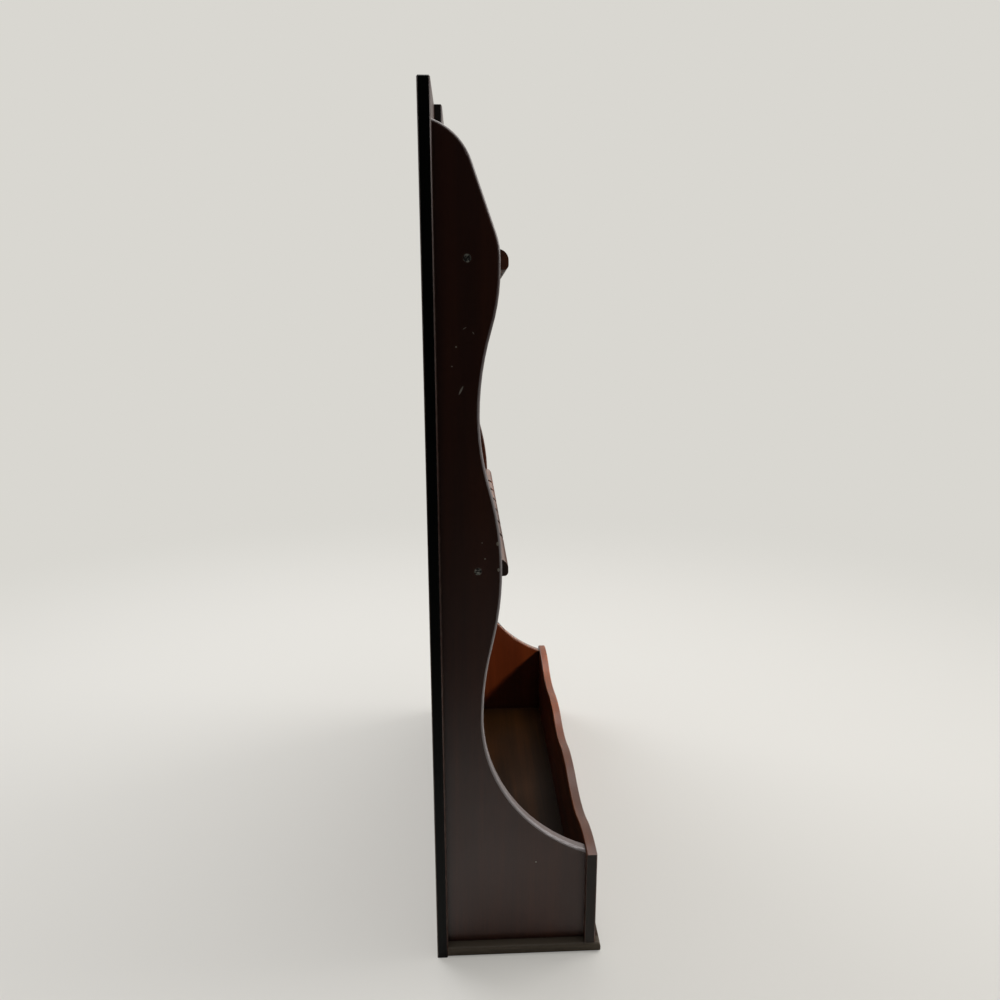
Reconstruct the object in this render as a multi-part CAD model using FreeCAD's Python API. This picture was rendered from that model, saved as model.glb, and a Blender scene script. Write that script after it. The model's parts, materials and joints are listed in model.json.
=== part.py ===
import FreeCAD, Part
import math
import os

os.makedirs("parts", exist_ok=True)

# A wooden spoon rack that stands or hangs: a flat back board, two serpentine sides, two
# slotted rails for spoons and an open box below. Sizes are millimetres.
# X points out of the wall to the front, Y runs along the width, Z is up.
# The origin is the middle of the rack's outer box, at floor level.

# The boards
rack_height = 610.0
rack_width = 381.0
back_thickness = 8.0
bottom_thickness = 7.5
bottom_reach = 116.8        # bottom board, measured out from the back board's front face
side_thickness = 8.0
side_inset = 7.5            # the sides stand in from the ends of the back and bottom boards
box_front_thickness = 8.0
box_front_lip = 4.1         # the bottom board shows in front of the box front
box_front_inset = 1.4       # the box front stops short of the bottom board's ends

# The spoon rails
upper_rail_drop = 100.7     # from the top edge of the back board to the middle of the rail
rail_spacing = 203.9
rail_thickness = 12.7
rail_reach = 46.7
rail_top_round = 7.0
rail_bottom_round = 3.0
slots_per_rail = 6
slot_pitch = 41.8
slot_width = 8.0
slot_depth = 24.0
slot_mouth_round = 2.0

# The curved front edge of a side bulges at each rail, is scooped out below it and sweeps
# out to the box front. Its reaches are measured out from the back board's front face.
shoulder_rise = 43.4        # above the upper rail
shoulder_reach = 26.2
shoulder_radius = 38.4
upper_bulge_reach = 41.3
upper_bulge_radius = 44.0   # above its crown
upper_bulge_flat = 5.8      # straight down from the crown
upper_scoop_reach = 27.5
upper_scoop_place = 0.485   # of the way down from the upper rail to the lower one
lower_bulge_reach = 42.1
lower_scoop_reach = 28.4
sweep_radius = 116.6
sweep_foot = 84.0           # height at which the sweep meets the box front

# The share of each stretch from a bulge to a scoop, or a scoop to a bulge, that its first arc takes
upper_bulge_turn = 0.40
upper_scoop_turn = 0.45
lower_bulge_turn = 0.49

# The scalloped top of the box front: share of the way from its end to its middle, and
# height above the bottom board.
end_crest = (0.079, 78.5)
outer_dip = (0.428, 67.0)
inner_crest = (0.735, 72.8)
middle_dip = (1.0, 66.3)
end_crest_radius = 80.0     # from the crest down to the end

# The strip across the top of the back board, with the hole that the rack hangs by
strip_length = 267.0
strip_height = 38.0
strip_thickness = 5.2
hanging_hole_radius = 3.5

# Eased edges: rounded over, or broken with a small flat
side_round = 2.2            # outside of the sides
side_flat = 1.0             # inside of the sides
board_flat = 0.7            # back board and box front
bottom_round = 2.5
strip_flat = 0.8

# Nails and brads: shank radius, head radius, head thickness and whole length
flat_nail = (1.1, 2.5, 1.0, 30.0)         # through the sides, their heads in view
nail = (0.9, 1.3, 1.4, 25.0)              # finishing nails for the other joints
brad = (0.6, 0.9, 0.9, 10.0)
point_length = 2.0          # the tapered end of a nail or brad
head_flat = 1.1             # shanks and heads are drawn with flats, no wider than this on a head
nail_sinking = 0.4          # heads are punched below the surface
nail_clearance = 0.1        # round a shank and a head
side_nail_reaches = (20.4, 25.5)          # into the upper and lower rail, out from the back board
back_nail_spread = 90.0                   # into a rail or the bottom board, to each side of the middle
side_back_nail_rise = 33.0                # into a side, above each rail
side_back_nail_height = 120.0             # and near the foot
bottom_nail_reaches = (20.0, 75.0)
bottom_nail_spread = 110.0                # into the box front, to each side of the middle
front_nail_heights = (20.0, 56.0)         # above the bottom board
strip_brad_spread = 95.0                  # to each side of the middle

# Faces that several pieces share
rack_depth = back_thickness + bottom_reach
wall_x = -rack_depth / 2
board_x = wall_x + back_thickness
front_back_x = board_x + bottom_reach - box_front_lip - box_front_thickness
side_outer_y = rack_width / 2 - side_inset
side_inner_y = side_outer_y - side_thickness
side_middle_y = side_outer_y - side_thickness / 2
bottom_top = bottom_thickness
upper_rail_height = rack_height - upper_rail_drop
lower_rail_height = upper_rail_height - rail_spacing
rail_heights = (upper_rail_height, lower_rail_height)
cut_margin = 5.0            # how far a cutting shape stands out of the piece it cuts


def block(x0, x1, y0, y1, z0, z1):
    """A squared board between two corners."""
    return Part.makeBox(x1 - x0, y1 - y0, z1 - z0, FreeCAD.Vector(x0, y0, z0))


def arc(centre, start, end, place):
    """A short arc about a centre; every point is (along, reach) and is put in space by place."""
    radius = math.hypot(start[0] - centre[0], start[1] - centre[1])
    chord_along = (start[0] + end[0]) / 2 - centre[0]
    chord_reach = (start[1] + end[1]) / 2 - centre[1]
    stretch = radius / math.hypot(chord_along, chord_reach)
    middle = (centre[0] + stretch * chord_along, centre[1] + stretch * chord_reach)
    return Part.Arc(place(*start), place(*middle), place(*end)).toShape()


def ogee(start, end, turn, place):
    """Two arcs that leave start level, turn over at that share of the way and reach end level."""
    step_along = end[0] - start[0]
    step_reach = end[1] - start[1]
    both_radii = (step_along ** 2 + step_reach ** 2) / (2 * step_reach)
    turning = (start[0] + turn * step_along, start[1] + turn * step_reach)
    first_centre = (start[0], start[1] + turn * both_radii)
    second_centre = (end[0], end[1] - (1 - turn) * both_radii)
    return [arc(first_centre, start, turning, place), arc(second_centre, turning, end, place)]


def touching_line(centre_a, radius_a, centre_b, radius_b):
    """The two points where a straight line touches two arcs that bulge the same way."""
    step_along = centre_b[0] - centre_a[0]
    step_reach = centre_b[1] - centre_a[1]
    span = math.hypot(step_along, step_reach)
    lean = (radius_a - radius_b) / span
    square = math.sqrt(1.0 - lean * lean)
    normal_along = (lean * step_along + square * step_reach) / span
    normal_reach = (lean * step_reach - square * step_along) / span
    return ((centre_a[0] + radius_a * normal_along, centre_a[1] + radius_a * normal_reach),
            (centre_b[0] + radius_b * normal_along, centre_b[1] + radius_b * normal_reach))


def line(*points):
    """Straight edges from point to point."""
    return [Part.LineSegment(a, b).toShape() for a, b in zip(points, points[1:])]


def rounded(solid, radius, wanted):
    """Round over the edges that wanted(edge) picks."""
    return solid.makeFillet(radius, [edge for edge in solid.Edges if wanted(edge)])


def flattened(solid, width, wanted):
    """Break the edges that wanted(edge) picks with a small flat."""
    return solid.makeChamfer(width, [edge for edge in solid.Edges if wanted(edge)])


def lies_on(edge, x=None, y=None, z=None):
    """True when the whole edge lies on one plane of the given coordinate."""
    box = edge.BoundBox
    for low, high, value in ((box.XMin, box.XMax, x), (box.YMin, box.YMax, y), (box.ZMin, box.ZMax, z)):
        if value is not None and abs(low - value) < 0.01 and abs(high - value) < 0.01:
            return True
    return False


def flatted_ring(radius, depth, flats):
    """The closed outline of a shank or head at a depth below the top of its head."""
    corners = []
    for number in range(flats + 1):
        angle = 2 * math.pi * (number + 0.5) / flats
        corners.append(FreeCAD.Vector(radius * math.cos(angle), radius * math.sin(angle), depth))
    return Part.makePolygon(corners)


def flatted_rod(radius, start, end, flats):
    """A length of shank or head between two depths."""
    return Part.Face(flatted_ring(radius, start, flats)).extrude(FreeCAD.Vector(0, 0, end - start))


def fastener(kind, head_point, direction):
    """A nail or brad, its head's top at head_point, driven along direction."""
    shank_radius, head_radius, head_thickness, length = kind
    flats = math.ceil(2 * math.pi * head_radius / head_flat)
    head = flatted_rod(head_radius, 0, head_thickness, flats)
    shank = flatted_rod(shank_radius, head_thickness, length - point_length, flats)
    tip = Part.Vertex(0, 0, length)
    point = Part.makeLoft([flatted_ring(shank_radius, length - point_length, flats), tip], True)
    return placed(head.fuse([shank, point]), head_point, direction)


def fastener_hole(kind, head_point, direction):
    """The hole that a nail or brad fills: a pocket for its head and a bore for its shank."""
    shank_radius, head_radius, head_thickness, length = kind
    flats = math.ceil(2 * math.pi * head_radius / head_flat)
    pocket = flatted_rod(head_radius + nail_clearance, -cut_margin, head_thickness, flats)
    bore = flatted_rod(shank_radius + nail_clearance, 0, length + nail_clearance, flats)
    return placed(pocket.fuse(bore), head_point, direction)


def placed(solid, point, direction):
    """Turn a solid made along Z to a direction and move it to a point."""
    turn = FreeCAD.Rotation(FreeCAD.Vector(0, 0, 1), direction)
    solid.Placement = FreeCAD.Placement(point, turn)
    return solid


def side_nails():
    """One flat-headed nail through each side into each end of each rail."""
    rows = []
    for height, reach in zip(rail_heights, side_nail_reaches):
        for hand in (-1, 1):
            head = FreeCAD.Vector(board_x + reach, hand * (side_outer_y - nail_sinking), height)
            rows.append((flat_nail, head, FreeCAD.Vector(0, -hand, 0)))
    return rows


def back_nails():
    """Nails from behind, into the sides, the rails and the bottom board."""
    places = []
    for hand in (-1, 1):
        places.append((hand * side_middle_y, side_back_nail_height))
        places += [(hand * side_middle_y, height + side_back_nail_rise) for height in rail_heights]
        places += [(hand * back_nail_spread, height) for height in (*rail_heights, bottom_thickness / 2)]
    x = wall_x + nail_sinking
    return [(nail, FreeCAD.Vector(x, y, z), FreeCAD.Vector(1, 0, 0)) for y, z in places]


def bottom_nails():
    """Nails from below, into the sides and the box front."""
    places = [(board_x + reach, hand * side_middle_y) for hand in (-1, 1) for reach in bottom_nail_reaches]
    places += [(front_back_x + box_front_thickness / 2, step * bottom_nail_spread) for step in (-1, 0, 1)]
    return [(nail, FreeCAD.Vector(x, y, nail_sinking), FreeCAD.Vector(0, 0, 1)) for x, y in places]


def front_nails():
    """Nails through the box front into the front edges of the sides."""
    x = front_back_x + box_front_thickness - nail_sinking
    places = [(hand * side_middle_y, bottom_top + height) for hand in (-1, 1) for height in front_nail_heights]
    return [(nail, FreeCAD.Vector(x, y, z), FreeCAD.Vector(-1, 0, 0)) for y, z in places]


def strip_brads():
    """Brads through the top strip into the back board."""
    x = board_x + strip_thickness - nail_sinking
    z = rack_height - strip_height / 2
    return [(brad, FreeCAD.Vector(x, hand * strip_brad_spread, z), FreeCAD.Vector(-1, 0, 0)) for hand in (-1, 1)]


def drilled(solid, *fastener_rows):
    """Cut the holes of the fasteners that pass through or into a piece."""
    holes = [fastener_hole(*row) for rows in fastener_rows for row in rows]
    near = [hole for hole in holes if hole.BoundBox.intersect(solid.BoundBox)]
    return solid.cut(near)


def hanging_hole():
    """The bore for the screw or nail that the rack hangs on."""
    return Part.makeCylinder(
        hanging_hole_radius,
        back_thickness + strip_thickness + 2 * cut_margin,
        FreeCAD.Vector(wall_x - cut_margin, 0, rack_height - strip_height / 2),
        FreeCAD.Vector(1, 0, 0),
    )


def back_board():
    """The full-height board, its upright edges and top eased."""
    half = rack_width / 2
    solid = block(wall_x, board_x, -half, half, 0, rack_height)
    solid = flattened(solid, board_flat, lambda edge: not lies_on(edge, z=0)
                      and (lies_on(edge, z=rack_height) or lies_on(edge, x=wall_x) or lies_on(edge, x=board_x)))
    return drilled(solid.cut(hanging_hole()), back_nails(), strip_brads())


def bottom_board():
    """The floor of the box, eased where it shows at the front and the ends."""
    half = rack_width / 2
    solid = block(board_x, board_x + bottom_reach, -half, half, 0, bottom_thickness)
    solid = rounded(solid, bottom_round, lambda edge: not lies_on(edge, x=board_x)
                    and (lies_on(edge, z=0) or lies_on(edge, z=bottom_thickness)))
    return drilled(solid, back_nails(), bottom_nails())


def side_outline(place):
    """The closed outline of a side, from its tip on the back board down to the box front."""
    shoulder_centre = (upper_rail_height + shoulder_rise, shoulder_reach - shoulder_radius)
    bulge_centre = (upper_rail_height, upper_bulge_reach - upper_bulge_radius)
    tip_rise = math.sqrt(shoulder_radius ** 2 - shoulder_centre[1] ** 2)
    tip = (shoulder_centre[0] + tip_rise, 0.0)
    off_shoulder, on_bulge = touching_line(shoulder_centre, shoulder_radius, bulge_centre, upper_bulge_radius)
    crown = (upper_rail_height, upper_bulge_reach)
    upper_bulge = (upper_rail_height - upper_bulge_flat, upper_bulge_reach)
    upper_scoop = (upper_rail_height - upper_scoop_place * rail_spacing, upper_scoop_reach)
    lower_bulge = (lower_rail_height, lower_bulge_reach)

    box_reach = front_back_x - board_x
    sweep_rise = math.sqrt(sweep_radius ** 2 - (sweep_radius - box_reach + lower_scoop_reach) ** 2)
    lower_scoop = (sweep_foot + sweep_rise, lower_scoop_reach)
    sweep_centre = (lower_scoop[0], lower_scoop_reach + sweep_radius)
    foot = (sweep_foot, box_reach)

    return [
        arc(shoulder_centre, tip, off_shoulder, place),
        *line(place(*off_shoulder), place(*on_bulge)),
        arc(bulge_centre, on_bulge, crown, place),
        *line(place(*crown), place(*upper_bulge)),
        *ogee(upper_bulge, upper_scoop, upper_bulge_turn, place),
        *ogee(upper_scoop, lower_bulge, upper_scoop_turn, place),
        *ogee(lower_bulge, lower_scoop, lower_bulge_turn, place),
        arc(sweep_centre, lower_scoop, foot, place),
        *line(place(*foot), place(bottom_top, box_reach), place(bottom_top, 0), place(*tip)),
    ]


def side_panel(hand):
    """A serpentine side; hand is -1 on the left and 1 on the right, seen from the front."""
    inner_y = hand * side_inner_y
    outer_y = hand * side_outer_y

    def place(height, reach):
        return FreeCAD.Vector(board_x + reach, inner_y, height)

    def is_free(edge):
        return not lies_on(edge, x=board_x, z=bottom_top) and not lies_on(edge, x=front_back_x)

    face = Part.Face(Part.Wire(side_outline(place)))
    solid = face.extrude(FreeCAD.Vector(0, outer_y - inner_y, 0))
    solid = rounded(solid, side_round, lambda edge: is_free(edge) and lies_on(edge, y=outer_y))
    solid = flattened(solid, side_flat, lambda edge: is_free(edge) and lies_on(edge, y=inner_y))
    return drilled(solid, side_nails(), back_nails(), bottom_nails(), front_nails())


def slot_edges(place, middle):
    """The outline of one spoon slot with rounded mouth corners and a round end."""
    half = slot_width / 2
    inset = slot_mouth_round * (1.0 - math.sqrt(0.5))
    end_centre = rail_reach - slot_depth + half
    shoulder_in = rail_reach - slot_mouth_round
    mouth = half + slot_mouth_round
    return [
        Part.Arc(place(rail_reach, middle - mouth), place(rail_reach - inset, middle - half - inset),
                 place(shoulder_in, middle - half)).toShape(),
        *line(place(shoulder_in, middle - half), place(end_centre, middle - half)),
        Part.Arc(place(end_centre, middle - half), place(end_centre - half, middle),
                 place(end_centre, middle + half)).toShape(),
        *line(place(end_centre, middle + half), place(shoulder_in, middle + half)),
        Part.Arc(place(shoulder_in, middle + half), place(rail_reach - inset, middle + half + inset),
                 place(rail_reach, middle + mouth)).toShape(),
    ]


def spoon_rail(height):
    """A rail between the sides: its slotted plan met with its rounded cross-section."""
    low = height - rail_thickness / 2
    high = height + rail_thickness / 2

    def on_plan(reach, y):
        return FreeCAD.Vector(board_x + reach, y, low)

    edges = []
    corner = on_plan(rail_reach, -side_inner_y)
    for number in range(slots_per_rail):
        middle = (number - (slots_per_rail - 1) / 2) * slot_pitch
        slot = slot_edges(on_plan, middle)
        edges += line(corner, slot[0].Vertexes[0].Point) + slot
        corner = on_plan(rail_reach, middle + slot_width / 2 + slot_mouth_round)
    edges += line(corner, on_plan(rail_reach, side_inner_y), on_plan(0, side_inner_y),
                  on_plan(0, -side_inner_y), on_plan(rail_reach, -side_inner_y))
    plan = Part.Face(Part.Wire(edges)).extrude(FreeCAD.Vector(0, 0, rail_thickness))

    bar = block(board_x, board_x + rail_reach, -side_inner_y, side_inner_y, low, high)
    front_x = board_x + rail_reach
    bar = rounded(bar, rail_top_round, lambda edge: lies_on(edge, x=front_x) and lies_on(edge, z=high))
    bar = rounded(bar, rail_bottom_round, lambda edge: lies_on(edge, x=front_x) and lies_on(edge, z=low))
    return drilled(bar.common(plan), side_nails(), back_nails())


def box_front():
    """The front of the box, its top cut in a symmetrical row of scallops."""
    half = rack_width / 2 - box_front_inset

    def place(y, height):
        return FreeCAD.Vector(front_back_x, y, bottom_top + height)

    bends = [((share - 1.0) * half, height) for share, height in (end_crest, outer_dip, inner_crest, middle_dip)]
    bends += [(-y, height) for y, height in reversed(bends[:-1])]
    edges = []
    for hand, crest in ((-1, bends[0]), (1, bends[-1])):
        centre = (crest[0], crest[1] - end_crest_radius)
        corner = (hand * half, centre[1] + math.sqrt(end_crest_radius ** 2 - (half - abs(crest[0])) ** 2))
        edges += line(place(hand * half, 0), place(*corner)) + [arc(centre, corner, crest, place)]
    for start, end in zip(bends, bends[1:]):
        edges += ogee(start, end, 0.5, place)
    edges += line(place(-half, 0), place(half, 0))
    outline = Part.Wire(Part.__sortEdges__(edges))
    solid = Part.Face(outline).extrude(FreeCAD.Vector(box_front_thickness, 0, 0))
    front_x = front_back_x + box_front_thickness

    def is_free(edge):
        on_a_face = lies_on(edge, x=front_back_x) or lies_on(edge, x=front_x)
        behind_end = lies_on(edge, x=front_back_x) and (lies_on(edge, y=half) or lies_on(edge, y=-half))
        return on_a_face and not behind_end and not lies_on(edge, z=bottom_top)

    return drilled(flattened(solid, board_flat, is_free), front_nails(), bottom_nails())


def top_strip():
    """The thin strip across the top of the back board, level with its top edge."""
    half = strip_length / 2
    front_x = board_x + strip_thickness
    solid = block(board_x, front_x, -half, half, rack_height - strip_height, rack_height)
    solid = flattened(solid, strip_flat, lambda edge: lies_on(edge, x=front_x))
    return drilled(solid.cut(hanging_hole()), strip_brads())


def group(rows):
    """Identical fasteners as one set of separate solids."""
    return Part.makeCompound([fastener(*row) for row in rows])


nodes = {
    "back_board": back_board(),
    "bottom_board": bottom_board(),
    "left_side": side_panel(-1),
    "right_side": side_panel(1),
    "upper_spoon_rail": spoon_rail(upper_rail_height),
    "lower_spoon_rail": spoon_rail(lower_rail_height),
    "box_front": box_front(),
    "top_strip": top_strip(),
    "side_nails": group(side_nails()),
    "back_nails": group(back_nails()),
    "bottom_nails": group(bottom_nails()),
    "box_front_nails": group(front_nails()),
    "top_strip_brads": group(strip_brads()),
}

for name, shape in nodes.items():
    shape.exportStep("parts/" + name + ".step")
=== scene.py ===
import bpy
import bmesh
import json
import math
from mathutils import Matrix, Vector

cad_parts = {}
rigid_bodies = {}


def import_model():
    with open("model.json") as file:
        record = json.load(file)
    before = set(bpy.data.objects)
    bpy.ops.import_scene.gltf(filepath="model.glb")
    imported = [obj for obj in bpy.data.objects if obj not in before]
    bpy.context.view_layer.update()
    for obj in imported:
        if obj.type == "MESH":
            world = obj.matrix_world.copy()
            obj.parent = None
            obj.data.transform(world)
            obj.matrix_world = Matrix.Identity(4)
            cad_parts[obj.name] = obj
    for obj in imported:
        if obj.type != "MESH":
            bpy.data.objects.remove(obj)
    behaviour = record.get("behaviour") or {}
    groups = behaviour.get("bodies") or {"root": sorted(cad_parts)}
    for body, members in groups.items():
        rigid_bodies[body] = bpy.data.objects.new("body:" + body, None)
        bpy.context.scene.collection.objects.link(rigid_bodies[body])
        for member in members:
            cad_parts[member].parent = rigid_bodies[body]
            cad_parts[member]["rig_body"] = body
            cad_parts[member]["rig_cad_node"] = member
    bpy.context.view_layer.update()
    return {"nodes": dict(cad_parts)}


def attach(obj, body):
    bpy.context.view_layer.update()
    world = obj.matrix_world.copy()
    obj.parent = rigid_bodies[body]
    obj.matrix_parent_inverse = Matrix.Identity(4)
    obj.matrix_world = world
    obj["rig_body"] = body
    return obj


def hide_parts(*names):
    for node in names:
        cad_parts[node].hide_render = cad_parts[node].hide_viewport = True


# The looks of a wooden spoon rack: boards of stained and varnished wood, held with nails
# whose heads are filled over. Metres, in the frame of the solids: X out of the wall,
# Y along the width, Z up.

MM = 0.001

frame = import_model()


# Colours and nodes

def tone(hex_code):
    """A linear RGBA colour from an sRGB hex code."""
    parts = [int(hex_code[i:i + 2], 16) / 255 for i in (1, 3, 5)]
    return (*[p / 12.92 if p <= 0.04045 else ((p + 0.055) / 1.055) ** 2.4 for p in parts], 1.0)


def add(tree, kind, inputs=None, stops=(), **settings):
    """A node with its settings. An input takes a value, an output, or a node, which stands for
    its first output in use."""
    node = tree.nodes.new(kind)
    for name, value in settings.items():
        setattr(node, name, value)
    for name, value in (inputs or {}).items():
        if isinstance(value, bpy.types.Node):
            value = next(output for output in value.outputs if output.enabled)
        if isinstance(value, bpy.types.NodeSocket):
            tree.links.new(value, node.inputs[name])
        else:
            node.inputs[name].default_value = value
    while stops and len(node.color_ramp.elements) < len(stops):
        node.color_ramp.elements.new(0.5)
    for number, (position, colour) in enumerate(stops):
        node.color_ramp.elements[number].position = position
        node.color_ramp.elements[number].color = tone(colour)
    return node


# The two colours of a mixing node, the one laid over the other
UNDER, OVER = 6, 7


def new_material(name):
    """A material with its node tree, its shader and its object coordinates."""
    material = bpy.data.materials.new(name)
    material.use_nodes = True
    tree = material.node_tree
    place = add(tree, "ShaderNodeTexCoord").outputs["Object"]
    return material, tree, tree.nodes["Principled BSDF"], place


def finish_shader(tree, shader, colour=None, roughness=None, height=None, depth=0.1 * MM,
                  strength=0.4, **constants):
    """Put a colour, a roughness and a relief on the shader, and set its plain values."""
    for name, value in constants.items():
        shader.inputs[name.replace("_", " ")].default_value = value
    for name, node in (("Base Color", colour), ("Roughness", roughness)):
        if node:
            in_use = next(output for output in node.outputs if output.enabled)
            tree.links.new(in_use, shader.inputs[name])
    if height:
        bump = add(tree, "ShaderNodeBump", {
            "Height": height, "Strength": strength, "Distance": depth})
        tree.links.new(bump.outputs[0], shader.inputs["Normal"])


# A mark is full out to the one share of its size and gone at the other
MARK_FULL, MARK_ENDS = 0.75, 1.05


def mark_mask(tree, place, x, z, half_width, half_length, tilt):
    """Full inside a small lens-shaped mark at X and Z (mm) on a side, nothing outside it."""
    local = add(tree, "ShaderNodeMapping", {
        "Vector": place, "Location": (x * MM, 0, z * MM), "Rotation": (0, math.radians(tilt), 0),
        "Scale": (half_width * MM, 1, half_length * MM)}, vector_type="TEXTURE")
    away = add(tree, "ShaderNodeVectorMath", {0: local}, operation="LENGTH")
    return add(tree, "ShaderNodeMapRange", {
        "Value": away.outputs["Value"], "From Min": MARK_ENDS, "From Max": MARK_FULL})


# Real sizes of the wood's pattern, in millimetres
WANDER_SIZE = 1000 / 12     # bands of darker and paler rings, twelve to the metre
RING_SPACING = 6.0          # growth rings as they cross a board's face
FIBRE_WIDTH = 0.35          # drawn a little coarser than real fibres, so that they show
PORE_WIDTH = 0.5
STAIN_PATCH = 70.0
RUB_PATCH = 9.0
SPECK_SPACING = 22.0        # specks of dust caught in the varnish
SPECK_SIZE = 0.45
ALONG_GRAIN = 22.0          # how much longer than wide the pattern is
CORNER_SHADE_REACH = 7.0           # painted shade reaches this far out of a corner
WORN_WIDTH = 1.3            # of an arris
WOOD_RELIEF = 0.1           # open grain under the varnish
VARNISH_IOR = 1.47

# Real sizes of the lumps in the fillings and of the tarnish on the nails, in millimetres
WAX_LUMP = 0.8
STOPPING_LUMP = 1.6
TARNISH_SPOT = 0.6

TIMBER_SHIFT = (0.31, 0.17, 0.23)   # metres between the pieces of timber of two boards
BORDER_BLEND = 1.5 * MM
SIDE_HIGHLIGHT_ENDS = (0.4, 0.52)     # metres up the sides: the painted highlight on their eased edges is full below, faint above

# Turns that bring each direction of the grain to Z
GRAIN_TURNS = {"Y": (math.pi / 2, 0, 0), "Z": (0, 0, 0)}
END_GRAIN_SHARE = 0.55      # how much of an end grain's or a narrow face's own colour shows
NARROW_FACE_SHARE = 0.85
BORDER_SHARE = 0.8


def stained_wood(name, grain, seed, tones, end="#1C120C", narrow_face=None, border=None, rub_and_highlight="#7D6556",
                 coat=0.25, gloss=0.5, corner_shade=0.7, outside=0, marks=()):
    """Close-grained wood, planed, rubbed with dark brown stain and varnished satin: a deep
    red-brown with a quiet figure, paler and greyer on the arrises: partly wear, partly painted highlight.

    tones run from the darkest to the palest. end is the colour of the end grain, narrow_face
    of the faces towards Y, and of what lies further out than border. outside is -1 or 1, the
    way along Y that a side's eased edge faces."""
    material, tree, shader, place = new_material(name)
    deep, mid, pale = tones

    # The board's own piece of timber: its pattern is shifted, and turned so that the grain is Z
    timber = add(tree, "ShaderNodeMapping", {
        "Vector": place, "Location": [shift * seed for shift in TIMBER_SHIFT],
        "Rotation": GRAIN_TURNS[grain]})
    along = add(tree, "ShaderNodeMapping", {"Vector": timber, "Scale": (1, 1, 1 / ALONG_GRAIN)})

    # Growth rings wander along the board, with fibres and pores in them
    wander = add(tree, "ShaderNodeTexNoise", {
        "Vector": along, "Scale": 1 / (WANDER_SIZE * MM), "Detail": 3.0, "Roughness": 0.55})
    rings = add(tree, "ShaderNodeTexNoise", {
        "Vector": along, "Scale": 0.5 / (RING_SPACING * MM), "Detail": 4.0, "Roughness": 0.6,
        "Distortion": 0.35})
    fibres = add(tree, "ShaderNodeTexNoise", {
        "Vector": along, "Scale": 0.5 / (FIBRE_WIDTH * MM), "Detail": 3.0, "Roughness": 0.7})
    pores = add(tree, "ShaderNodeTexVoronoi", {"Vector": along, "Scale": 0.5 / (PORE_WIDTH * MM)})
    patches = add(tree, "ShaderNodeTexNoise", {
        "Vector": place, "Scale": 1 / (STAIN_PATCH * MM), "Detail": 3.0})
    ring_band = add(tree, "ShaderNodeMapRange", {
        "Value": rings.outputs["Fac"], "From Min": 0.32, "From Max": 0.68})
    figure = add(tree, "ShaderNodeMath", {0: ring_band, 1: wander.outputs["Fac"]}, operation="ADD")
    figure = add(tree, "ShaderNodeMath", {0: figure, 1: 0.5}, operation="MULTIPLY")
    wood = add(tree, "ShaderNodeValToRGB", {"Fac": figure}, stops=((0.2, deep), (0.5, mid), (0.85, pale)))
    fine = add(tree, "ShaderNodeMapRange", {
        "Value": fibres.outputs["Fac"], "From Min": 0.3, "From Max": 0.7, "To Min": 0.88, "To Max": 1.06})
    fine = add(tree, "ShaderNodeCombineColor", {"Red": fine, "Green": fine, "Blue": fine})
    wood = add(tree, "ShaderNodeMix", {0: 1.0, UNDER: wood, OVER: fine}, data_type="RGBA",
               blend_type="MULTIPLY")
    pore = add(tree, "ShaderNodeMapRange", {
        "Value": pores.outputs["Distance"], "From Min": 0.0, "From Max": 0.2, "To Min": 0.35, "To Max": 0.0})
    wood = add(tree, "ShaderNodeMix", {0: pore, UNDER: wood, OVER: tone("#160A06")}, data_type="RGBA")
    blotch = add(tree, "ShaderNodeMapRange", {
        "Value": patches.outputs["Fac"], "From Min": 0.35, "From Max": 0.7, "To Max": 0.45})
    wood = add(tree, "ShaderNodeMix", {0: blotch, UNDER: wood, OVER: tone(deep)}, data_type="RGBA")

    # End grain drinks the stain and is darker, but the upper rail's ends are painted a light orange as
    # painted light; the narrow faces of some boards are dull and dark
    geometry = add(tree, "ShaderNodeNewGeometry")
    facing = add(tree, "ShaderNodeSeparateXYZ", {0: geometry.outputs["Normal"]})
    narrow = 0.0
    for axis, colour, most in ((grain, end, END_GRAIN_SHARE), ("Y", narrow_face, NARROW_FACE_SHARE)):
        if colour:
            turned = add(tree, "ShaderNodeMath", {0: facing.outputs[axis]}, operation="ABSOLUTE")
            narrow = add(tree, "ShaderNodeMapRange", {
                "Value": turned, "From Min": 0.8, "From Max": 0.95, "To Max": most})
            wood = add(tree, "ShaderNodeMix", {0: narrow, UNDER: wood, OVER: tone(colour)},
                       data_type="RGBA")

    # So is the border of the bottom board that stands out past the sides
    spot = add(tree, "ShaderNodeSeparateXYZ", {0: place})
    if border:
        side_to_side = add(tree, "ShaderNodeMath", {0: spot.outputs["Y"]}, operation="ABSOLUTE")
        past = add(tree, "ShaderNodeMapRange", {
            "Value": side_to_side, "From Min": border, "From Max": border + BORDER_BLEND,
            "To Max": BORDER_SHARE})
        wood = add(tree, "ShaderNodeMix", {0: past, UNDER: wood, OVER: tone(narrow_face)},
                   data_type="RGBA")

    # Painted shade: the corners are darkened by ambient occlusion
    corner = add(tree, "ShaderNodeAmbientOcclusion", {"Distance": CORNER_SHADE_REACH * MM}, samples=6)
    painted_corner_shade = add(tree, "ShaderNodeMapRange", {
        "Value": corner.outputs["AO"], "From Min": 0.35, "From Max": 0.9, "To Min": corner_shade, "To Max": 0.0})
    wood = add(tree, "ShaderNodeMix", {0: painted_corner_shade, UNDER: wood, OVER: tone("#0F0705")},
               data_type="RGBA")
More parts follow.
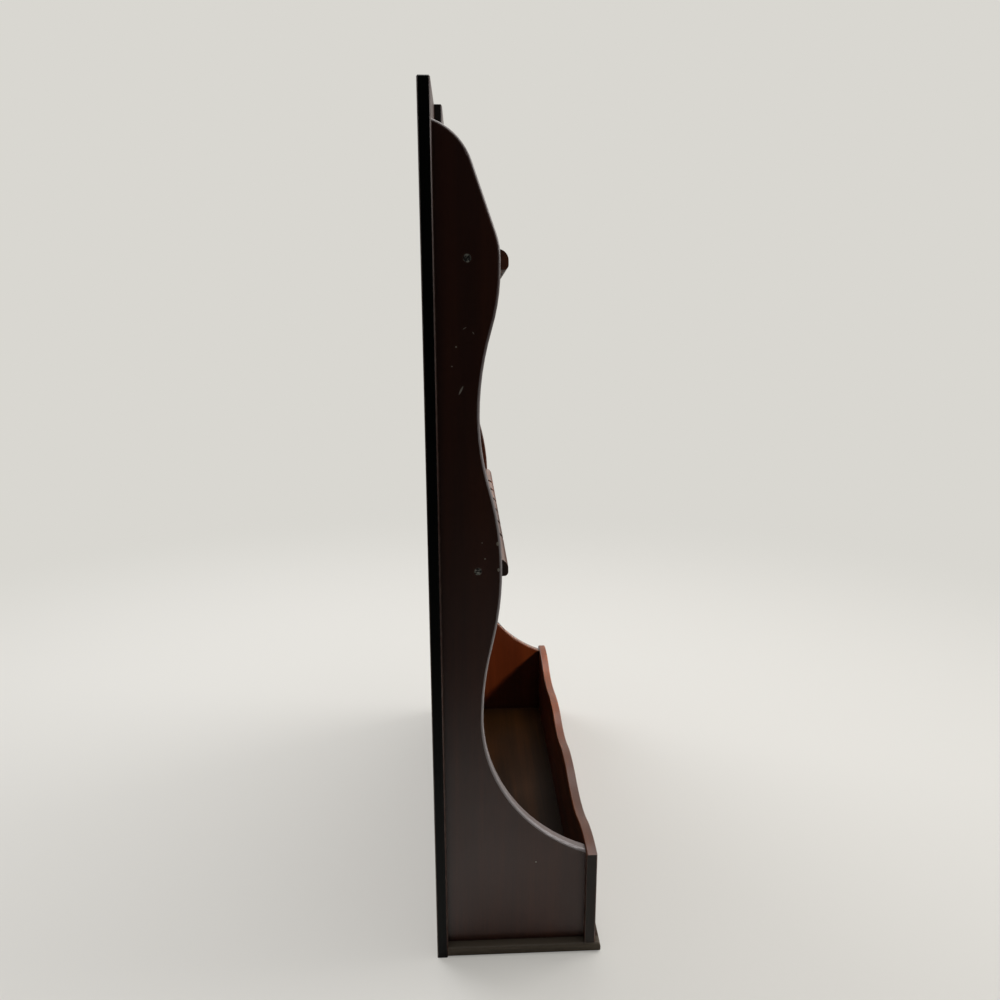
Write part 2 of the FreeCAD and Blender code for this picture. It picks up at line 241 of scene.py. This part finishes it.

    # Handling rubs the arrises, found where the normal of a slightly rounded copy differs; their paler
    # colour is partly wear and partly a painted highlight
    rounded = add(tree, "ShaderNodeBevel", {"Radius": WORN_WIDTH * MM}, samples=5)
    likeness = add(tree, "ShaderNodeVectorMath", {0: rounded, 1: geometry.outputs["Normal"]},
                   operation="DOT_PRODUCT")
    arris = add(tree, "ShaderNodeMapRange", {
        "Value": likeness.outputs["Value"], "From Min": 0.995, "From Max": 0.93})
    rubbing = add(tree, "ShaderNodeTexNoise", {
        "Vector": place, "Scale": 1 / (RUB_PATCH * MM), "Detail": 5.0, "Roughness": 0.7})
    worn = add(tree, "ShaderNodeMapRange", {
        "Value": rubbing.outputs["Fac"], "From Min": 0.42, "From Max": 0.66, "To Min": 0.1, "To Max": 0.6})
    rubbed_and_highlit = add(tree, "ShaderNodeMath", {0: arris, 1: worn}, operation="MULTIPLY")
    wood = add(tree, "ShaderNodeMix", {0: rubbed_and_highlit, UNDER: wood, OVER: tone(rub_and_highlight)}, data_type="RGBA")

    # Painted highlight: the broad eased edges outside the sides are painted a light greyish brown, fading
    # towards the top
    if outside:
        sideways = add(tree, "ShaderNodeMath", {0: facing.outputs["Y"], 1: outside}, operation="MULTIPLY")
        outer_end = add(tree, "ShaderNodeMapRange", {
            "Value": sideways, "From Min": 0.998, "From Max": 0.98})
        inner_end = add(tree, "ShaderNodeMapRange", {
            "Value": sideways, "From Min": -0.2, "From Max": 0.3, "To Min": 0.0, "To Max": 0.85})
        highlight_reach = add(tree, "ShaderNodeMapRange", {
            "Value": spot.outputs["Z"], "From Min": SIDE_HIGHLIGHT_ENDS[0], "From Max": SIDE_HIGHLIGHT_ENDS[1],
            "To Min": 1.0, "To Max": 0.15})
        side_edge_highlight = add(tree, "ShaderNodeMath", {0: outer_end, 1: inner_end}, operation="MULTIPLY")
        side_edge_highlight = add(tree, "ShaderNodeMath", {0: side_edge_highlight, 1: highlight_reach}, operation="MULTIPLY")
        wood = add(tree, "ShaderNodeMix", {0: side_edge_highlight, UNDER: wood, OVER: tone("#989190")}, data_type="RGBA")

    # Specks in the varnish, and the scratches and chips of use
    specks = add(tree, "ShaderNodeTexVoronoi", {"Vector": place, "Scale": 1 / (SPECK_SPACING * MM)})
    speck = add(tree, "ShaderNodeMapRange", {
        "Value": specks.outputs["Distance"], "From Min": SPECK_SIZE / SPECK_SPACING,
        "From Max": 0.5 * SPECK_SIZE / SPECK_SPACING, "To Max": 0.6})
    wood = add(tree, "ShaderNodeMix", {0: speck, UNDER: wood, OVER: tone("#8C7C70")}, data_type="RGBA")
    for mark in marks:
        mask = mark_mask(tree, place, *mark)
        wood = add(tree, "ShaderNodeMix", {0: mask, UNDER: wood, OVER: tone("#A29A8E")}, data_type="RGBA")

    # Satin varnish over slightly open grain
    sheen = add(tree, "ShaderNodeMapRange", {
        "Value": patches.outputs["Fac"], "From Min": 0.3, "From Max": 0.7, "To Min": 0.36, "To Max": 0.5})
    sheen = add(tree, "ShaderNodeMath", {0: narrow, 1: 0.5, 2: sheen}, operation="MULTIPLY_ADD")
    relief = add(tree, "ShaderNodeMath", {0: fibres.outputs["Fac"], 1: pore}, operation="SUBTRACT")
    finish_shader(tree, shader, wood, sheen, relief, depth=WOOD_RELIEF * MM, strength=0.25,
                  IOR=VARNISH_IOR, Specular_IOR_Level=gloss, Coat_Weight=coat, Coat_Roughness=0.25)
    return material


def wax_filler():
    """Dark wax pressed over a finishing nail's head: even and a little duller than the wood."""
    material, tree, shader, place = new_material("dark_wax_filler")
    lumps = add(tree, "ShaderNodeTexNoise", {
        "Vector": place, "Scale": 1 / (WAX_LUMP * MM), "Detail": 2.0})
    colour = add(tree, "ShaderNodeValToRGB", {"Fac": lumps.outputs["Fac"]},
                 stops=((0.3, "#1B0E09"), (0.7, "#3A2116")))
    finish_shader(tree, shader, colour, None, lumps.outputs["Fac"], Roughness=0.5, IOR=1.45)
    return material


def stopping(cracks):
    """Pale stopping knifed over a flat nail head: chalky, stained in patches and cracked across."""
    material, tree, shader, place = new_material("pale_wood_stopping")
    lumps = add(tree, "ShaderNodeTexNoise", {
        "Vector": place, "Scale": 1 / (STOPPING_LUMP * MM), "Detail": 3.0})
    colour = add(tree, "ShaderNodeValToRGB", {"Fac": lumps.outputs["Fac"]},
                 stops=((0.42, "#241C17"), (0.6, "#A6A69B")))
    for crack in cracks:
        mask = mark_mask(tree, place, *crack)
        colour = add(tree, "ShaderNodeMix", {0: mask, UNDER: colour, OVER: tone("#0E0B09")},
                     data_type="RGBA")
    finish_shader(tree, shader, colour, None, lumps.outputs["Fac"], Roughness=0.55, IOR=1.5)
    return material


def nail_wire():
    """Drawn steel wire, bright under a little tarnish."""
    material, tree, shader, place = new_material("drawn_steel_wire")
    tarnish = add(tree, "ShaderNodeTexNoise", {
        "Vector": place, "Scale": 1 / (TARNISH_SPOT * MM), "Detail": 3.0})
    colour = add(tree, "ShaderNodeValToRGB", {"Fac": tarnish.outputs["Fac"]},
                 stops=((0.35, "#8C8780"), (0.7, "#5E564E")))
    dullness = add(tree, "ShaderNodeMapRange", {
        "Value": tarnish.outputs["Fac"], "From Min": 0.3, "From Max": 0.7, "To Min": 0.3, "To Max": 0.5})
    finish_shader(tree, shader, colour, dullness, Metallic=1.0)
    return material


# Boards

def only(piece):
    """Select one piece and make it the active one."""
    bpy.ops.object.select_all(action="DESELECT")
    piece.select_set(True)
    bpy.context.view_layer.objects.active = piece


def finish_with(piece, kind, **settings):
    """Put a modifier on a piece and apply it."""
    only(piece)
    modifier = piece.modifiers.new(kind.title(), kind)
    for name, value in settings.items():
        setattr(modifier, name, value)
    bpy.ops.object.modifier_apply(modifier=modifier.name)


rack = bpy.data.collections.new("boards_of_the_rack")
ARRIS = 0.45 * MM           # softening of the edges that the solids leave sharp
JOINED = 0.001 * MM         # corners nearer than this are one corner
FLAT_ANGLE = math.radians(0.5)
SHARP_ANGLE = math.radians(30)
# A face of the upright board belongs to its edge when its normal has less than this of X
EDGE_FACING = 0.4


def dressed_board(node, material, edge_material=None):
    """A board as it is after sanding: the node's shape with every arris softened. The
    edges of an upright board may have a material of their own."""
    solid = frame["nodes"][node]
    board = solid.copy()
    board.data = solid.data.copy()
    board.name = node + "_dressed"
    board.parent = None
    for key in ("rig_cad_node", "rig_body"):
        del board[key]
    bpy.context.scene.collection.objects.link(board)
    only(board)
    bpy.ops.object.mode_set(mode="EDIT")
    bpy.ops.mesh.select_all(action="SELECT")
    bpy.ops.mesh.remove_doubles(threshold=JOINED)
    bpy.ops.mesh.dissolve_limited(angle_limit=FLAT_ANGLE)
    bpy.ops.object.mode_set(mode="OBJECT")
    finish_with(board, "BEVEL", width=ARRIS, segments=3, limit_method="ANGLE",
                angle_limit=SHARP_ANGLE)
    bpy.ops.object.shade_smooth_by_angle(angle=SHARP_ANGLE)
    # The broad faces stay flat to the eye right up to the softened arrises
    finish_with(board, "WEIGHTED_NORMAL", keep_sharp=True, weight=100)
    board.data.materials.clear()
    board.data.materials.append(material)
    if edge_material:
        board.data.materials.append(edge_material)
        for face in board.data.polygons:
            if abs(face.normal.x) < EDGE_FACING:
                face.material_index = 1
    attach(board, "root")
    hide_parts(node)
    rack.objects.link(board)


RED_BROWN = ("#35170B", "#401D0E", "#4C2512")
WARM_BROWN = ("#3A1B0C", "#5A2B10", "#77411D")
OLIVE_BROWN = ("#1E1208", "#331F0C", "#472A12")

# Scratches, dents and chips on the left side: X, Z, half width, half length (mm), tilt (degrees)
LEFT_SIDE_MARKS = (
    (-38.9, 427.8, 0.65, 3.4, 27), (-41.6, 455.3, 0.6, 0.6, 0), (-44.5, 443.1, 0.6, 0.4, 0),
    (-36.0, 466.9, 0.25, 1.4, 60), (-30.6, 463.9, 0.25, 1.1, -35), (12.8, 75.4, 0.7, 0.5, 0),
    (-24.1, 314.3, 0.7, 0.6, 0), (-26.0, 325.6, 0.4, 0.5, 0), (-15.4, 324.8, 1.1, 1.6, 0),
    (-14.9, 306.3, 0.9, 1.4, 0),
)

boards = {
    # The grey on the back board's arrises is a painted highlight along its edges
    "back_board": dict(grain="Z", tones=RED_BROWN, rub_and_highlight="#8A8379", coat=0.0),
    # The bottom board gets less painted shade in its corners
    "bottom_board": dict(grain="Y", tones=OLIVE_BROWN, narrow_face="#5B5348", border=182 * MM,
                         coat=0.0, gloss=0.12, corner_shade=0.45),
    "left_side": dict(grain="Z", tones=RED_BROWN, outside=-1, marks=LEFT_SIDE_MARKS),
    "right_side": dict(grain="Z", tones=RED_BROWN, outside=1),
    # The upper rail's end grain is painted a light orange: painted light on its ends, not the wood's colour
    "upper_spoon_rail": dict(grain="Y", tones=WARM_BROWN, end="#7A3A12", coat=0.6),
    "lower_spoon_rail": dict(grain="Y", tones=WARM_BROWN, coat=0.6),
    "box_front": dict(grain="Y", tones=WARM_BROWN, narrow_face="#1C1913", rub_and_highlight="#6E5A4E"),
    "top_strip": dict(grain="Y", tones=RED_BROWN, narrow_face="#17140F"),
}
sawn_edges = {"back_board": stained_wood(
    "sawn_edge_stained_black", grain="Z", seed=len(boards) + 1,
    tones=("#060706", "#0A0B09", "#12120F"), rub_and_highlight="#2E2B27", coat=0.0, gloss=0.12)}
for seed, (node, look) in enumerate(boards.items(), start=1):
    varnished = stained_wood("stained_varnished_" + node, seed=seed, **look)
    dressed_board(node, varnished, sawn_edges.get(node))


# Nails

HEAD_GROUP = 12 * MM        # head corners nearer than this belong to one nail
OUTERMOST = 0.05 * MM       # corners this near the furthest one are on a head


def nail_heads(node, direction):
    """The middles of the heads of a node's nails that face one way, read off the frame."""
    direction = Vector(direction)
    corners = [vertex.co.copy() for vertex in frame["nodes"][node].data.vertices]
    furthest = max(corner.dot(direction) for corner in corners)
    heads = []
    for corner in corners:
        if furthest - corner.dot(direction) > OUTERMOST:
            continue
        for head in heads:
            if (head[0] - corner).length < HEAD_GROUP:
                head.append(corner)
                break
        else:
            heads.append([corner])
    middles = []
    for head in heads:
        low = Vector([min(corner[axis] for corner in head) for axis in range(3)])
        high = Vector([max(corner[axis] for corner in head) for axis in range(3)])
        middles.append((low + high) / 2)
    return middles


PLUG_DEPTH = 0.4 * MM       # the filler between a nail's head and the surface
PLUG_HOLLOW = 0.15 * MM     # filler shrinks a little as it sets
PLUG_SIDES = 32
DIMPLE_RINGS = (0.25, 0.3)  # widths of the two rings round the dimple, as shares of the radius


def filler_plugs(node, directions, name, radius, material):
    """A dimpled plug of filler over each nail's head."""
    plugs = []
    for direction in directions:
        outward = Vector(direction)
        for head in nail_heads(node, direction):
            bpy.ops.object.select_all(action="DESELECT")
            bpy.ops.mesh.primitive_cylinder_add(
                vertices=PLUG_SIDES, radius=radius, depth=PLUG_DEPTH,
                location=head + outward * PLUG_DEPTH / 2,
                rotation=outward.to_track_quat("Z", "Y").to_euler())
            plug = bpy.context.object
            bpy.ops.object.mode_set(mode="EDIT")
            bpy.ops.mesh.select_all(action="DESELECT")
            mesh = bmesh.from_edit_mesh(plug.data)
            for face in mesh.faces:
                face.select = face.normal.z > 0.9
            bmesh.update_edit_mesh(plug.data)
            for share in DIMPLE_RINGS:
                bpy.ops.mesh.inset(thickness=radius * share)
            bpy.ops.transform.translate(value=-outward * PLUG_HOLLOW)
            bpy.ops.object.mode_set(mode="OBJECT")
            plugs.append(plug)
    bpy.ops.object.select_all(action="DESELECT")
    for plug in plugs:
        plug.select_set(True)
    bpy.context.view_layer.objects.active = plugs[0]
    bpy.ops.object.join()
    group = bpy.context.object
    group.name = name
    bpy.ops.object.transform_apply(location=True, rotation=True, scale=True)
    bpy.ops.object.shade_smooth_by_angle(angle=SHARP_ANGLE)
    group.data.materials.append(material)
    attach(group, "root")


FLAT_HEAD_FILL = 2.55 * MM  # radius of the stopping over the nail heads in the sides
NAIL_HEAD_FILL = 1.38 * MM
# Cracks across the stopping over the upper and the lower nails, given as the marks are
CRACKS = ((-34.0, 509.3, 0.5, 2.4, 40), (-28.9, 305.5, 0.45, 2.3, 86))
filler_plugs("side_nails", [(0, -1, 0), (0, 1, 0)], "side_nail_stopping", FLAT_HEAD_FILL,
             stopping(CRACKS))
wax = wax_filler()
for node, direction in (("back_nails", (-1, 0, 0)), ("bottom_nails", (0, 0, -1)),
                        ("box_front_nails", (1, 0, 0))):
    filler_plugs(node, [direction], node.replace("nails", "nail_filler"), NAIL_HEAD_FILL, wax)
wire = nail_wire()
for node in ("side_nails", "back_nails", "bottom_nails", "box_front_nails", "top_strip_brads"):
    solid = frame["nodes"][node]
    solid.data.materials.clear()
    solid.data.materials.append(wire)


# The room: a pale floor that runs into the backdrop, soft lamps above, to the front and
# behind, and one narrow lamp that looks into the box

BACKDROP = "#D9D7D1"
FLOOR = "#DAD7D1"
FAR_FLOOR = "#302F2D"       # what the rack sees of the floor further off
LIT_FLOOR = (0.3, 0.62)     # metres: over this stretch the one floor runs into the other
FLOOR_ENDS = (0.3, 1.3)     # metres: over this stretch the floor runs into the backdrop
BACKDROP_NEAR = 0.38        # share of the backdrop's tone that the floor has nearest the rack
FLOOR_SIZE = 30
FLOOR_DROP = 0.0002         # keeps the floor clear of the undersides

floor_look, tree, shader, place = new_material("pale_matt_floor")
light_path = add(tree, "ShaderNodeLightPath")
away = add(tree, "ShaderNodeVectorMath", {0: place}, operation="LENGTH").outputs["Value"]
dark_part = add(tree, "ShaderNodeMapRange", {
    "Value": away, "From Min": LIT_FLOOR[0], "From Max": LIT_FLOOR[1]})
unseen = add(tree, "ShaderNodeMath", {0: 1.0, 1: light_path.outputs["Is Camera Ray"]},
             operation="SUBTRACT")
dim = add(tree, "ShaderNodeMath", {0: dark_part, 1: unseen}, operation="MULTIPLY")
colour = add(tree, "ShaderNodeMix", {0: dim, UNDER: tone(FLOOR), OVER: tone(FAR_FLOOR)},
             data_type="RGBA")
finish_shader(tree, shader, colour, Roughness=0.9)
fade = add(tree, "ShaderNodeMapRange", {
    "Value": away, "From Min": FLOOR_ENDS[0], "From Max": FLOOR_ENDS[1], "To Min": BACKDROP_NEAR},
    interpolation_type="SMOOTHSTEP")
seen_fade = add(tree, "ShaderNodeMath", {0: fade, 1: light_path.outputs["Is Camera Ray"]},
                operation="MULTIPLY")
glow = add(tree, "ShaderNodeEmission", {"Color": tone(BACKDROP)})
surface = add(tree, "ShaderNodeMixShader", {0: seen_fade, 1: shader, 2: glow})
tree.links.new(surface.outputs[0], tree.nodes["Material Output"].inputs["Surface"])

bpy.ops.object.select_all(action="DESELECT")
bpy.ops.mesh.primitive_plane_add(size=FLOOR_SIZE, location=(0, 0, -FLOOR_DROP))
floor = bpy.context.object
floor.name = "floor"
floor.data.materials.append(floor_look)


def lamp(name, place, target, size, power, colour="#FFFFFF", spread=180):
    """A soft square lamp that looks at a point; spread is the width of its beam in degrees."""
    data = bpy.data.lights.new(name, "AREA")
    data.size = size
    data.energy = power
    data.color = tone(colour)[:3]
    data.spread = math.radians(spread)
    light = bpy.data.objects.new(name, data)
    light.location = place
    light.rotation_mode = "QUATERNION"
    light.rotation_quaternion = (Vector(target) - Vector(place)).to_track_quat("-Z", "Y")
    light.visible_camera = False
    bpy.context.scene.collection.objects.link(light)
    return light


middle = (0, 0, 0.3)
lamp("front_softbox", (2.3, 0.5, 1.5), middle, 1.6, 33)
lamp("overhead", (0.2, 0.15, 2.0), middle, 2.0, 30)
lamp("behind", (-1.5, 1.3, 1.2), middle, 1.3, 26, "#F6F9FF")
box_lamp = lamp("into_the_box", (0.5, -0.155, 0.44), (-0.01, 0.175, 0.12), 0.07, 0.62, "#FFDDB4",
                spread=44)
box_lamp.light_linking.receiver_collection = rack
box_lamp.visible_glossy = False

world = bpy.data.worlds.new("studio")
bpy.context.scene.world = world
world.use_nodes = True
tree = world.node_tree
outward = add(tree, "ShaderNodeTexCoord").outputs["Generated"]
direction = add(tree, "ShaderNodeSeparateXYZ", {0: outward})
away_from_camera = add(tree, "ShaderNodeMapRange", {
    "Value": direction.outputs["Y"], "From Min": -1.0, "From Max": 1.0})
room = add(tree, "ShaderNodeValToRGB", {"Fac": away_from_camera},
    stops=((0.15, "#1A1918"), (0.5, "#767573"), (0.9, "#B4B3B1")))
light_path = add(tree, "ShaderNodeLightPath")
# Gloss shows the backdrop too, but not the dark room behind the camera
lit_part = add(tree, "ShaderNodeMapRange", {
    "Value": direction.outputs["Y"], "From Min": -0.35, "From Max": 0.1})
mirrored = add(tree, "ShaderNodeMath", {
    0: light_path.outputs["Is Glossy Ray"], 1: light_path.outputs["Is Transmission Ray"]},
    operation="MAXIMUM")
mirrored = add(tree, "ShaderNodeMath", {0: mirrored, 1: lit_part}, operation="MULTIPLY")
seen = add(tree, "ShaderNodeMath", {0: light_path.outputs["Is Camera Ray"], 1: mirrored},
           operation="MAXIMUM")
sky = add(tree, "ShaderNodeMix", {0: seen, UNDER: room, OVER: tone(BACKDROP)}, data_type="RGBA")
tree.links.new(sky.outputs[2], tree.nodes["Background"].inputs["Color"])


# The camera stands near the left side, a little above the middle, looking down at it

CAMERA_PLACE = Vector((-35.5, -661.6, 463.8)) * MM
CAMERA_YAW = math.radians(2.59)
CAMERA_DIP = math.radians(12.77)
CAMERA_ROLL = math.radians(-0.10)
FOCAL_SHARE = 0.736         # focal length as a share of the picture's width
SENSOR = 36                 # its width in millimetres

ahead = Vector((math.sin(CAMERA_YAW) * math.cos(CAMERA_DIP),
                math.cos(CAMERA_YAW) * math.cos(CAMERA_DIP),
                -math.sin(CAMERA_DIP)))
right = Vector((math.cos(CAMERA_YAW), -math.sin(CAMERA_YAW), 0))
up = right.cross(ahead)
rolled_right = right * math.cos(CAMERA_ROLL) + up * math.sin(CAMERA_ROLL)
rolled_up = up * math.cos(CAMERA_ROLL) - right * math.sin(CAMERA_ROLL)
camera_data = bpy.data.cameras.new("camera")
camera_data.sensor_width = SENSOR
camera_data.lens = SENSOR * FOCAL_SHARE
camera_data.clip_start = 0.01
camera_data.clip_end = 100
camera = bpy.data.objects.new("camera", camera_data)
bpy.context.scene.collection.objects.link(camera)
camera.matrix_world = Matrix.Translation(CAMERA_PLACE) @ Matrix(
    (rolled_right, rolled_up, -ahead)).transposed().to_4x4()
bpy.context.scene.camera = camera

bpy.context.scene.view_settings.view_transform = "Standard"
